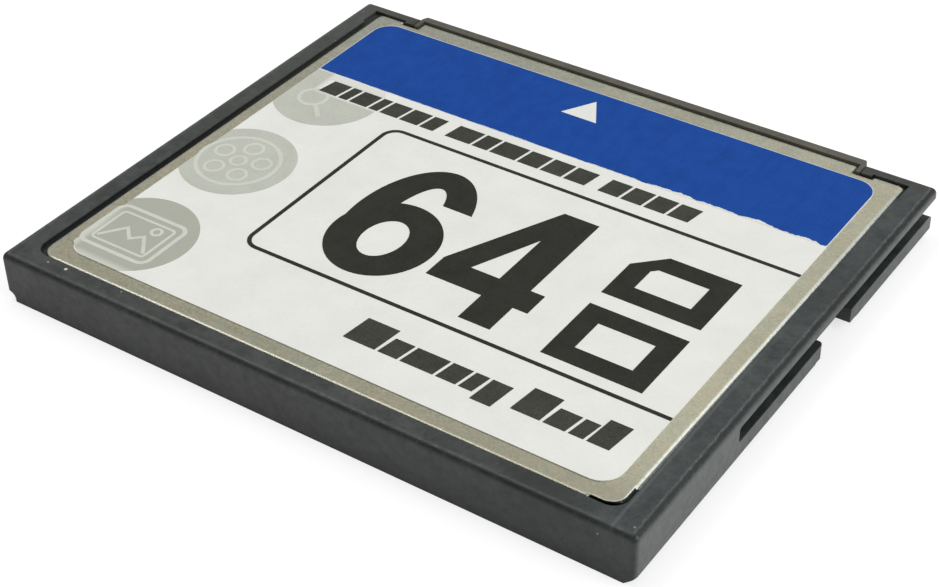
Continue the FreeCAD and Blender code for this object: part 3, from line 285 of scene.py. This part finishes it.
    def bump(self, height, depth, before=None):
        """Surface relief, height times depth."""
        node = self.add("ShaderNodeBump")
        node.inputs["Strength"].default_value = 1.0
        node.inputs["Distance"].default_value = depth * MM
        self.set(node.inputs["Height"], height)
        if before is not None:
            self.link(before, node.inputs["Normal"])
        return node.outputs["Normal"]

    def finish(self, colour, rough, normal=None, metal=0.0, **uniform):
        inputs = self.shader.inputs
        self.set(inputs["Base Color"], colour)
        self.set(inputs["Roughness"], rough)
        inputs["Metallic"].default_value = metal
        if normal is not None:
            self.link(normal, inputs["Normal"])
        for key, value in uniform.items():
            inputs[key.replace("_", " ").title().replace("Ior", "IOR")].default_value = value
        return self.material


def tone(red, green, blue):
    """A screen colour, 0 to 255 a channel, as linear light."""
    def linear(c):
        c /= 255
        return c / 12.92 if c <= 0.04045 else ((c + 0.055) / 1.055) ** 2.4
    return tuple(linear(c) for c in (red, green, blue))


def moulded_plastic(name, dark, light, rough, grain=0.12):
    """Moulded plastic: cloudy tone and fine grain."""
    n = Nodes(name)
    blend = n.blend(n.noise(2.2, detail=4), n.noise(grain, detail=2), 0.55, 0.36, 0.64)
    roughness = n.spread(n.noise(0.5), rough - 0.06, rough + 0.06)
    relief = n.bump(n.noise(grain, detail=3), 0.004)
    return n.finish(n.mix(blend, dark, light), roughness, relief, ior=1.5)


def socket_plastic():
    """The socket's plastic: dark, with painted light on the lip along its top."""
    n = Nodes("socket_plastic")
    blend = n.blend(n.noise(1.8, detail=4), n.noise(0.12, detail=2), 0.5, 0.36, 0.64)
    colour = n.mix(blend, tone(40, 42, 41), tone(58, 60, 58))
    # painted light: the lip is paler towards its top
    lip = n.mix(blend, tone(74, 72, 63), tone(98, 96, 84))
    colour = n.mix(n.along(n.z, 2.6, 3.2), colour, lip)
    roughness = n.spread(n.noise(0.5), 0.4, 0.52)
    return n.finish(colour, roughness, n.bump(n.noise(0.12, detail=3), 0.004), ior=1.5)


def painted_edge_light(n, colour):
    """Adds painted light along the frame: a painted dark reflection and a painted highlight line on its top
    edges, painted light on its long sides and a painted highlight on the rim next to the cover.
    """
    out_x = n.minus(n.amount(n.x), HALF_WIDTH * MM)
    out_y = n.most(n.minus(n.y, FRAME_FRONT * MM), n.minus(FRAME_REAR * MM, n.y))
    unevenness = n.spread(n.noise(0.35, detail=4, roughness=0.75), -0.08 * MM, 0.08 * MM)
    out = n.plus(n.most(out_x, out_y), unevenness)
    on_top = n.along(n.z, 3.2, 3.25)
    # painted shade: the rounded edges carry a painted dark reflection
    band = n.times(n.along(out, -0.32, -0.24), n.along(out, -0.05, -0.12), n.along(n.z, 2.85, 3.0))
    colour = n.mix(n.times(band, 0.7), colour, tone(20, 23, 23))
    # a painted highlight line where they start, faint along the front and rear
    line = n.along(n.amount(n.plus(out, 0.385 * MM)), 0.02, 0.07, 1.0, 0.0)
    patches = n.span(n.noise(0.5, detail=4, roughness=0.7), 0.35, 0.7, 0.1, 1.0)
    at_sides = n.along(n.minus(out_x, out_y), -0.3, 0.1, 0.12, 1.0)
    painted_edge_highlight = n.times(line, patches, at_sides, on_top)
    colour = n.mix(n.times(painted_edge_highlight, 0.38), colour, tone(132, 137, 135))
    # painted light: a paler film on the long sides
    film = n.times(n.along(out_x, -0.09, -0.01), n.along(n.z, 3.25, 3.1), n.along(n.y, -8, -5, 0.4, 0.22))
    colour = n.mix(film, colour, tone(98, 102, 101))
    # painted highlight: the rim is a little paler next to the cover's right edge
    cover_right = in_mm(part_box("top_cover"))[1].x
    painted_rim_highlight = n.along(n.amount(n.minus(n.x, (cover_right + 0.22) * MM)), 0.03, 0.14, 1.0, 0.0)
    painted_rim_highlight = n.times(painted_rim_highlight, n.along(n.y, 2, -8), on_top)
    return n.mix(n.times(painted_rim_highlight, 0.4), colour, tone(100, 106, 105))


def dirt_and_painted_shade(n, colour, rear):
    """Adds dust and stains that have settled on the frame, and painted shade on its rear face."""
    # the far left of the rim is a little paler
    paler = n.times(n.along(n.y, -4, 17, 0, 0.4), n.along(n.x, -17, -19))
    colour = n.mix(paler, colour, tone(84, 86, 80))
    # painted shade on the rear face, deeper towards the foot
    colour = n.mix(n.times(rear, n.along(n.z, 0, 1.6, 0.8, 0.35)), colour, tone(20, 22, 21))
    away, pick = n.cells(0.8)
    speck = n.times(n.span(away, 0.04, 0.08, 1, 0), n.span(pick, 0.965, 0.966))
    colour = n.mix(n.times(speck, 0.6), colour, tone(196, 194, 182))
    for x, y, radius, strength in STAINS:
        stain = n.along(n.away(x, y, FRAME_TOP), 0.3 * radius, radius, strength, 0.0, smooth=True)
        colour = n.mix(stain, colour, tone(26, 30, 28))
    # pale dust grains on the rim, the last one a painted glint
    for x, y, radius, strength in DUST_GRAINS_AND_GLINT:
        grain = n.along(n.away(x, y, FRAME_TOP), 0.4 * radius, radius, strength, 0.0)
        colour = n.mix(grain, colour, tone(236, 232, 212))
    return colour


def in_shade(n, colour):
    """Darkens the frame's gaps, with the seat under the cover and the gap round it."""
    shade = n.mix(n.along(n.y, -4, 12), tone(6, 7, 6), tone(34, 33, 27))
    colour = n.mix(n.span(n.crevice(0.35), 0.25, 0.88, 0.94, 0.0), colour, shade)
    low, high = in_mm(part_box("top_cover"))
    seat = n.times(n.along(n.x, low.x - 0.35, low.x - 0.33), n.along(n.x, high.x + 0.1, high.x + 0.08),
                   n.along(n.y, low.y - 0.1, low.y - 0.08), n.along(n.y, high.y, high.y - 0.02),
                   n.along(n.z, 3.24, 3.14))
    return n.mix(n.times(seat, 0.92), colour, shade)


def frame_plastic():
    """The frame's plastic: cloudy mould grain, painted shade in its gaps and on its rear face, painted light
    along its top edges and long sides, dust and stains.
    """
    n = Nodes("frame")
    blend = n.blend(n.noise(0.9, detail=5, roughness=0.65), n.noise(0.16, detail=3), 0.65, 0.36, 0.64)
    colour = n.mix(blend, tone(36, 40, 38), tone(68, 71, 68))
    # a cooler cast towards the right, a warmer one along the front
    cool = n.mix(blend, tone(32, 41, 42), tone(62, 72, 73))
    colour = n.mix(n.along(n.x, 0, 20, 0, 0.5), colour, cool)
    colour = n.mix(n.along(n.y, 16.4, 17.2, 0, 0.5), colour, tone(62, 59, 50))
    blotch = n.noise(2.6, detail=4, roughness=0.7)
    colour = n.mix(n.span(blotch, 0.5, 0.72, 0, 0.45), colour, tone(36, 40, 40))
    colour = n.mix(n.span(blotch, 0.5, 0.3, 0, 0.35), colour, tone(74, 80, 79))
    rear = n.along(n.y, -18.1, -18.16)
    colour = in_shade(n, dirt_and_painted_shade(n, painted_edge_light(n, colour), rear))
    roughness = n.plus(n.spread(n.noise(0.4), 0.36, 0.5), n.times(rear, 0.08))
    relief = n.bump(n.noise(0.11, detail=3), 0.005, before=n.soft_edge(0.05))
    return n.finish(colour, roughness, relief, ior=1.5)


def painted_gap_shade(n, low, high, leant):
    """1 on the parts of a cover's edge that get painted shade for the dark gap round it."""
    # the set-in rear right corner
    inset, radius, length = 0.13, 1.0, 1.9
    past_x = n.minus(n.x, (high.x - inset - radius) * MM)
    past_y = n.minus((low.y + inset + radius) * MM, n.y)
    edge = n.along(n.beyond_corner(past_x, past_y, radius), -0.12, -0.09)
    corner = n.times(n.along(n.x, high.x - length, high.x - length + 0.1),
                     n.along(n.y, low.y + length, low.y + length - 0.1), edge)
    rear = n.times(n.along(n.y, low.y + 0.07, low.y + 0.04), n.along(n.x, 9, 14))
    right = n.times(n.along(leant, high.x - 0.04, high.x - 0.01), 0.8)
    return n.most(corner, rear, right)


def cover_metal(name, warm):
    """Satin sheet metal: bead-blasted speckle, handling blotches, faint rubbing, burnished edges with a
    painted highlight, and painted shade where it meets the frame.
    """
    n = Nodes(name)
    low, high = in_mm(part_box(name))
    speckle = n.noise(0.13, detail=3, roughness=0.7)
    blend = n.blend(speckle, n.noise(3.5, detail=3), 0.7, 0.35, 0.65)
    colour = n.mix(blend, tone(178, 175, 156 - warm), tone(212, 210, 190 - warm))
    # blotches of two tints
    blotch = n.noise(0.9, detail=3, roughness=0.6)
    colour = n.mix(n.span(blotch, 0.54, 0.64, 0, 0.4), colour, tone(207, 190, 170))
    colour = n.mix(n.span(blotch, 0.46, 0.36, 0, 0.4), colour, tone(180, 186, 176))
    # a cooler cast towards the far left corner, a darker one along the rear
    far = n.minus(n.y, n.times(n.plus(n.x, 20 * MM), 0.35))
    cool = n.mix(blend, tone(179, 186, 182), tone(209, 217, 214))
    colour = n.mix(n.along(far, 0, 18, 0, 0.4), colour, cool)
    rear = n.times(n.along(n.y, -13, -15.8), n.along(n.x, 0, 16, 0.2, 0.36))
    colour = n.mix(rear, colour, tone(128, 125, 108))
    # the right edge of the upper cover rolls over more widely than the others, most so at the rear
    leant = n.plus(n.x, n.along(n.y, -15, 6, 0.09 * MM, 0.0))
    uneven = n.span(n.noise(0.25, detail=4, roughness=0.7), 0.35, 0.55, 0.7, 1.0)
    roll = n.times(n.along(leant, high.x - 0.26, high.x - 0.14), n.along(n.z, 3.08, 3.1), uneven)
    normal = n.turned(roll, n.soft_edge(0.2), (0.24, 0, 0.97))
    # the edges are burnished smoother, and brighter with a painted highlight, less along the rear and the
    # front
    level = n.amount(n.parts(normal)[2])
    edge = n.times(n.span(level, 0.995, 0.95), n.along(n.y, 15, 16, 1.0, 0.3))
    burnish_and_highlight = n.mix(n.along(n.y, -2, 14), tone(240, 248, 246), tone(218, 224, 220))
    dim_burnish_and_highlight = n.mix(n.along(n.x, -14, 9), tone(212, 209, 198), tone(168, 165, 150))
    colour = n.mix(edge, colour, n.mix(n.along(n.y, low.y + 0.42, low.y + 0.32), burnish_and_highlight, dim_burnish_and_highlight))
    # painted shade on the walls where they meet the frame
    wall = n.span(n.parts(n.add("ShaderNodeNewGeometry").outputs["Normal"])[2], 0.5, 0.3)
    colour = n.mix(n.times(wall, n.span(n.crevice(0.3), 0.2, 0.6, 0.96, 0.0)), colour, tone(8, 8, 7))
    # painted shade: near black where the cover's edge stands in the gap round it
    colour = n.mix(n.times(painted_gap_shade(n, low, high, leant), 0.97), colour, tone(5, 5, 5))
    rub = n.noise(0.5, detail=4, stretch=(0.08, 1.6, 1))
    roughness = n.blend(rub, speckle, 0.4, 0.35, 0.65, 0.34, 0.5)
    roughness = n.minus(roughness, n.times(edge, 0.2))
    return n.finish(colour, roughness, n.bump(speckle, 0.005, before=normal), metal=1.0)


def label_film():
    """White film with a faint mottle and a soft sheen."""
    n = Nodes("label_film")
    fine = n.noise(0.15, detail=2)
    blend = n.blend(n.noise(2.5, detail=3), fine, 0.6, 0.35, 0.65)
    colour = n.mix(blend, tone(233, 234, 228), tone(241, 242, 236))
    return n.finish(colour, n.spread(fine, 0.4, 0.52), n.bump(n.noise(0.6), 0.003), specular_ior_level=0.3)


class Print(Nodes):
    """Nodes of a screen print: its fine mottle, and that mottle's blend with a soft cloud."""

    def __init__(self, name):
        super().__init__(name)
        self.fine = self.noise(0.13, detail=3, roughness=0.7)
        self.mottle = self.blend(self.fine, self.noise(1.5, detail=3), 0.65, 0.34, 0.66)

    def printed(self, colour):
        return self.finish(colour, self.spread(self.fine, 0.45, 0.57), self.bump(self.fine, 0.002),
                           specular_ior_level=0.2)


def pale_ink():
    """The pictograms' ink."""
    n = Print("pale_print")
    return n.printed(n.mix(n.mottle, tone(206, 208, 197), tone(219, 221, 210)))


def grey_ink():
    """The discs' ink, left bare round the title and worn off at the label's corner."""
    n = Print("grey_print")
    colour = n.mix(n.mottle, tone(189, 191, 179), tone(203, 206, 194))
    colour = n.mix(n.along(n.y, -6, -9, 0, 0.75), colour, tone(170, 173, 159))
    edge = in_mm(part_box("label"))[0]
    inside = n.math("MINIMUM", n.minus(n.x, edge.x * MM), n.minus(n.y, edge.y * MM))
    worn = n.times(n.along(inside, 0.55, 0.15), n.along(n.y, -10, -13, 0, 0.6))
    colour = n.mix(worn, colour, tone(226, 227, 216))
    title = n.times(n.along(n.x, edge.x + 1.2, edge.x + 1.5), n.along(n.y, edge.y + 21.75, edge.y + 22.0))
    return n.printed(n.mix(n.times(title, 0.9), colour, tone(231, 232, 225)))


def black_ink():
    """Black print. The bars that stand for small print are a little paler than the figures."""
    n = Print("black_print")
    colour = n.mix(n.mottle, tone(28, 28, 23), tone(50, 50, 43))
    rear = in_mm(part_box("label"))[0].y
    bars = n.most(n.along(n.y, rear + 21.5, rear + 21.6), n.along(n.y, rear + 5.5, rear + 5.4))
    small = n.mix(n.mottle, tone(46, 47, 40), tone(72, 73, 64))
    return n.printed(n.mix(bars, colour, small))


def blue_ink():
    """The band's ink, with an uneven rear edge and a pale hem of bare film round its outer sides."""
    n = Nodes("blue_print")
    fine = n.noise(0.14, detail=3, roughness=0.7)
    blend = n.blend(fine, n.noise(1.2, detail=4), 0.6, 0.34, 0.66)
    colour = n.mix(blend, tone(2, 63, 147), tone(12, 77, 166))
    streak = n.noise(0.5, detail=3, stretch=(1, 0.15, 1))
    colour = n.mix(n.span(streak, 0.5, 0.75, 0, 0.3), colour, tone(6, 52, 128))
    low, high = in_mm(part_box("label_blue_band"))
    # the rear edge is more ragged towards the right
    depth = n.along(n.x, 2, 8, 0.07 * MM, 0.3 * MM)
    ragged = n.noise(1.3, detail=4, roughness=0.65, stretch=(1, 0.2, 1))
    edge = n.plus(low.y * MM, n.times(n.spread(ragged), depth))
    torn = n.along(n.minus(edge, n.y), 0, 0.02)
    middle, half_flat = (low.x + high.x) / 2, (high.x - low.x) / 2 - LABEL_CORNER
    past_x = n.minus(n.amount(n.minus(n.x, middle * MM)), half_flat * MM)
    past_y = n.minus(n.y, (high.y - LABEL_CORNER) * MM)
    hem = n.along(n.beyond_corner(past_x, past_y, LABEL_CORNER), -0.06, -0.03, 0, 0.9)
    colour = n.mix(n.most(torn, hem), colour, tone(231, 232, 226))
    return n.finish(colour, n.spread(fine, 0.42, 0.55), n.bump(fine, 0.002), specular_ior_level=0.15)


def plated(name, dark, light, rough):
    """Plated metal with a slight cloudiness and fine lines."""
    n = Nodes(name)
    cloud = n.noise(0.4, detail=3)
    lines = n.noise(0.2, detail=2, stretch=(1, 0.1, 1))
    colour = n.mix(n.span(cloud, 0.35, 0.65), dark, light)
    return n.finish(colour, n.spread(lines, rough - 0.06, rough + 0.08), n.bump(lines, 0.002), metal=1.0)


def board_mask():
    """Green solder mask over the faint relief and paler green of copper tracks."""
    n = Nodes("board")
    track_pitch, track_length = 1.1, 5.0
    mapping = n.add("ShaderNodeMapping")
    n.link(n.place, mapping.inputs["Vector"])
    mapping.inputs["Scale"].default_value = (1 / (track_pitch * MM), 1 / (track_length * MM), 1)
    tracks = n.add("ShaderNodeTexBrick")
    n.link(mapping.outputs["Vector"], tracks.inputs["Vector"])
    tracks.inputs["Scale"].default_value = 1.0
    tracks.inputs["Mortar Size"].default_value = 0.09
    for key, colour in (("Color1", (16, 66, 40)), ("Color2", (20, 74, 46)), ("Mortar", (36, 100, 60))):
        tracks.inputs[key].default_value = (*tone(*colour), 1)
    fine = n.noise(0.3)
    colour = n.mix(n.spread(fine, 0, 0.25), tracks.outputs["Color"], tone(10, 48, 30))
    return n.finish(colour, n.spread(fine, 0.28, 0.4), n.bump(tracks.outputs["Fac"], 0.02), ior=1.5)


finishes = {
    "frame": frame_plastic(),
    "top_cover": cover_metal("top_cover", 4),
    "bottom_cover": cover_metal("bottom_cover", 0),
    "connector_housing": socket_plastic(),
    "upper_contacts": plated("contact_gold", tone(214, 168, 84), tone(240, 202, 122), 0.24),
    "circuit_board": board_mask(),
    "flash_chip_upper": moulded_plastic("chip_plastic", tone(26, 26, 27), tone(42, 42, 43), 0.55, grain=0.07),
    "flash_leads_upper": plated("tinned_metal", tone(176, 178, 180), tone(214, 215, 214), 0.3),
    "capacitors": moulded_plastic("ceramic", tone(150, 118, 84), tone(176, 142, 104), 0.4, grain=0.08),
    "bulk_capacitor": moulded_plastic("tantalum_block", tone(196, 150, 40), tone(216, 172, 58), 0.5),
    "resistors": moulded_plastic("resistor_coat", tone(22, 22, 24), tone(36, 36, 38), 0.3),
    "label": label_film(),
    "label_blue_band": blue_ink(),
    "label_grey_discs": grey_ink(),
    "label_black_print": black_ink(),
}
same_finish = {
    "lower_contacts": "upper_contacts",
    "flash_chip_lower": "flash_chip_upper",
    "controller_chip": "flash_chip_upper",
    "regulator": "flash_chip_upper",
    "flash_leads_lower": "flash_leads_upper",
    "controller_leads": "flash_leads_upper",
    "crystal_base": "capacitors",
    "crystal_lid": "flash_leads_upper",
    "regulator_pins": "flash_leads_upper",
    "bulk_capacitor_ends": "flash_leads_upper",
    "capacitor_ends": "flash_leads_upper",
    "resistor_ends": "flash_leads_upper",
    "label_numerals": "label_black_print",
    "label_sign": "label_black_print",
}
for node_name, node in nodes.items():
    finish = finishes[same_finish.get(node_name, node_name)]
    for slot in node.material_slots:
        slot.material = finish


# Pictograms: pale line drawings on the three discs


def line_mesh(bm, points, width, bottom, top, closed=False):
    """A flat line of even width through points in the plane, as a thin solid strip."""
    points = [Vector(p) for p in points]
    count = len(points)
    rings = []
    for k, p in enumerate(points):
        ways = []
        if k or closed:
            ways.append((p - points[k - 1]).normalized())
        if k < count - 1 or closed:
            ways.append((points[(k + 1) % count] - p).normalized())
        way = sum(ways, Vector((0, 0))).normalized()
        normal = Vector((-way.y, way.x))
        reach = width / 2
        if len(ways) == 2:
            reach /= max(0.5, normal.dot(Vector((-ways[0].y, ways[0].x))))
        left, right = p + normal * reach, p - normal * reach
        rings.append([bm.verts.new((q.x, q.y, z)) for q, z in
                      ((left, bottom), (right, bottom), (right, top), (left, top))])
    pairs = list(zip(rings, rings[1:]))
    if closed:
        pairs.append((rings[-1], rings[0]))
    else:
        bm.faces.new(rings[0])
        bm.faces.new(list(reversed(rings[-1])))
    for a, b in pairs:
        for k in range(4):
            bm.faces.new((a[k], b[k], b[(k + 1) % 4], a[(k + 1) % 4]))


def ring(radius, x=0.0, y=0.0, count=40):
    return [(x + radius * math.cos(math.tau * k / count), y + radius * math.sin(math.tau * k / count))
            for k in range(count)]


def rounded_rectangle(width, height, radius, count=6):
    points = []
    for side_x, side_y, start in ((1, 1, 0), (-1, 1, 90), (-1, -1, 180), (1, -1, 270)):
        for k in range(count + 1):
            a = math.radians(start + 90 * k / count)
            points.append((side_x * (width / 2 - radius) + radius * math.cos(a),
                           side_y * (height / 2 - radius) + radius * math.sin(a)))
    return points


def pictogram(name, disc, offset, lines):
    """Lines as (points, width, closed) on a disc's ink, drawn round a place offset from its middle."""
    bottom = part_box("label_grey_discs")[1].z
    centre_x = DISC_X + offset
    centre_y = LAST_DISC_Y + disc * DISC_PITCH + offset
    bm = bmesh.new()
    for points, width, closed in lines:
        line_mesh(bm, [((centre_x + x) * MM, (centre_y + y) * MM) for x, y in points], width * MM,
                  bottom, bottom + PICTOGRAM_HEIGHT * MM, closed)
    bmesh.ops.recalc_face_normals(bm, faces=bm.faces)
    mesh = bpy.data.meshes.new(name)
    bm.to_mesh(mesh)
    bm.free()
    mesh.materials.append(line_ink)
    obj = added(name, mesh)
    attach(obj, "root")


line_ink = pale_ink()
pictogram("pictogram_picture", 0, -0.15, [
    (rounded_rectangle(5.1, 4.1, 0.6), 0.27, True),
    (rounded_rectangle(4.0, 3.0, 0.25), 0.18, True),
    ([(-1.8, -1.2), (-0.7, 0.3), (0.1, -0.5), (0.75, 0.1), (1.8, -1.2)], 0.22, False),
    (ring(0.32, 1.05, 0.85), 0.2, True),
])
reel_holes = [math.radians(18 + 72 * k) for k in range(5)]
pictogram("pictogram_reel", 1, 0, [
    (ring(2.65), 0.26, True),
    (ring(0.5), 0.2, True),
] + [(ring(0.6, 1.55 * math.cos(a), 1.55 * math.sin(a)), 0.2, True) for a in reel_holes])
pictogram("pictogram_lens", 2, -0.75, [
    (ring(0.95), 0.26, True),
    ([(0.78, -0.78), (1.75, -1.75)], 0.3, False),
])


# Stage


def add_lamp(name, azimuth, elevation, width, power):
    """A soft white square lamp that faces the card."""
    data = bpy.data.lights.new(name, "AREA")
    data.shape = "RECTANGLE"
    data.size = data.size_y = width * MM
    data.energy = power
    right, up, forward = view_axes(azimuth, elevation)
    placed(added(name, data), -forward * LAMP_DISTANCE * MM, right, up, forward)


def add_world():
    """A pale dome, dimmer towards the horizon and on the near side."""
    world = bpy.data.worlds.new("studio")
    bpy.context.scene.world = world
    world.use_nodes = True
    tree = world.node_tree
    tree.nodes.clear()
    output = tree.nodes.new("ShaderNodeOutputWorld")
    background = tree.nodes.new("ShaderNodeBackground")
    place = tree.nodes.new("ShaderNodeTexCoord")
    axes = tree.nodes.new("ShaderNodeSeparateXYZ")
    ramp = tree.nodes.new("ShaderNodeValToRGB")
    side = tree.nodes.new("ShaderNodeMapRange")
    links = tree.links
    links.new(place.outputs["Generated"], axes.inputs["Vector"])
    links.new(axes.outputs["Z"], ramp.inputs["Fac"])
    links.new(ramp.outputs["Color"], background.inputs["Color"])
    links.new(background.outputs["Background"], output.inputs["Surface"])
    links.new(axes.outputs["Y"], side.inputs["Value"])
    for key, number in (("From Min", -0.9), ("From Max", 0.3), ("To Min", 0.45), ("To Max", 1.0)):
        side.inputs[key].default_value = number
    links.new(side.outputs["Result"], background.inputs["Strength"])
    # height over the horizon and the dome's grey there
    steps = ((0.0, 0.32), (0.3, 0.22), (0.6, 0.5), (1.0, 0.7))
    ramp.color_ramp.elements[0].position = steps[0][0]
    ramp.color_ramp.elements[1].position = steps[-1][0]
    for position, grey in steps[1:-1]:
        ramp.color_ramp.elements.new(position)
    for element, (position, grey) in zip(ramp.color_ramp.elements, steps):
        element.color = (grey, grey, grey, 1)


def add_floor():
    """White floor. It shows as white to the camera and in reflections, and keeps the shadow."""
    mesh = bpy.data.meshes.new("floor")
    corners = [(x * FLOOR_HALF * MM, y * FLOOR_HALF * MM, -FLOOR_DROP * MM)
               for x, y in ((-1, -1), (1, -1), (1, 1), (-1, 1))]
    mesh.from_pydata(corners, [], [(0, 1, 2, 3)])
    floor = added("floor", mesh)
    n = Nodes("floor")
    path = n.add("ShaderNodeLightPath").outputs
    white = n.mix(n.spread(n.noise(4)), (0.78, 0.78, 0.78), (0.82, 0.82, 0.82))
    n.finish(n.mix(path["Is Camera Ray"], white, (0.4, 0.4, 0.4)), 0.7)
    # it glows by 0.7 for the camera and by 0.3 in reflections
    seen = n.most(path["Is Glossy Ray"], path["Is Transmission Ray"], path["Is Camera Ray"])
    glow = n.times(seen, n.math("MULTIPLY_ADD", path["Is Camera Ray"], 0.4, 0.3))
    n.shader.inputs["Emission Color"].default_value = (1, 1, 1, 1)
    n.set(n.shader.inputs["Emission Strength"], glow)
    mesh.materials.append(n.material)


bpy.context.scene.view_settings.view_transform = "Standard"
add_camera()
add_world()
add_floor()
for lamp_name, lamp in LAMPS.items():
    add_lamp(lamp_name, *lamp)
